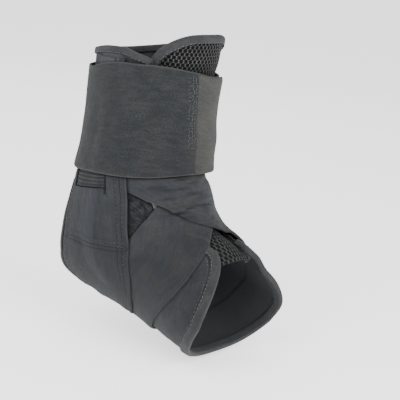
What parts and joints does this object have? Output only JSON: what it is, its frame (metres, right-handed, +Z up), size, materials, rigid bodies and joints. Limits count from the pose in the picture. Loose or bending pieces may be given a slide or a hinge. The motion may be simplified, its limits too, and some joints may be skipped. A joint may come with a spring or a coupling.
{
  "type": "ankle brace",
  "caption": "Lace-up ankle brace in its worn shape, with crossing stabiliser straps, a wrap-around cuff, a padded mesh tongue and open heel and toes.",
  "frame": {"origin": "centre of the ankle joint of the leg that wears it, midway between the two ankle bones", "axes": "+Z up the leg, +X towards the toes, -Y towards the side with the end of the upper strap"},
  "size_m": [0.1385, 0.0942, 0.2],
  "materials": {
    "mesh": "padded spacer mesh with open oval holes",
    "nylon": "dark grey woven nylon",
    "strapping": "smooth dark grey loop-faced strap",
    "elastic": "dark grey mottled elastic knit",
    "webbing": "ribbed dark elastic webbing",
    "tab": "smooth grey fastener tab",
    "tape": "folded grey binding tape with stitches",
    "lace": "flat light grey woven cord"
  },
  "bodies": {
    "root": {"tongue": "mesh", "quarter_near": "nylon", "quarter_far": "nylon", "side_panel_near": "nylon", "side_panel_far": "nylon", "window_webbing_near": "webbing", "window_webbing_far": "webbing", "strap_under": "strapping", "strap_over": "strapping", "cuff_band": "elastic", "cuff_tab": "tab", "top_binding": "tape", "heel_binding": "tape", "toe_binding": "tape", "tongue_binding": "tape", "lace": "lace", "lace_loop_near_1": "lace", "lace_loop_far_2": "lace", "lace_loop_near_3": "lace", "lace_loop_far_4": "lace", "lace_loop_near_5": "lace", "lace_loop_far_6": "lace", "lace_loop_near_7": "lace"}
  },
  "joints": []
}
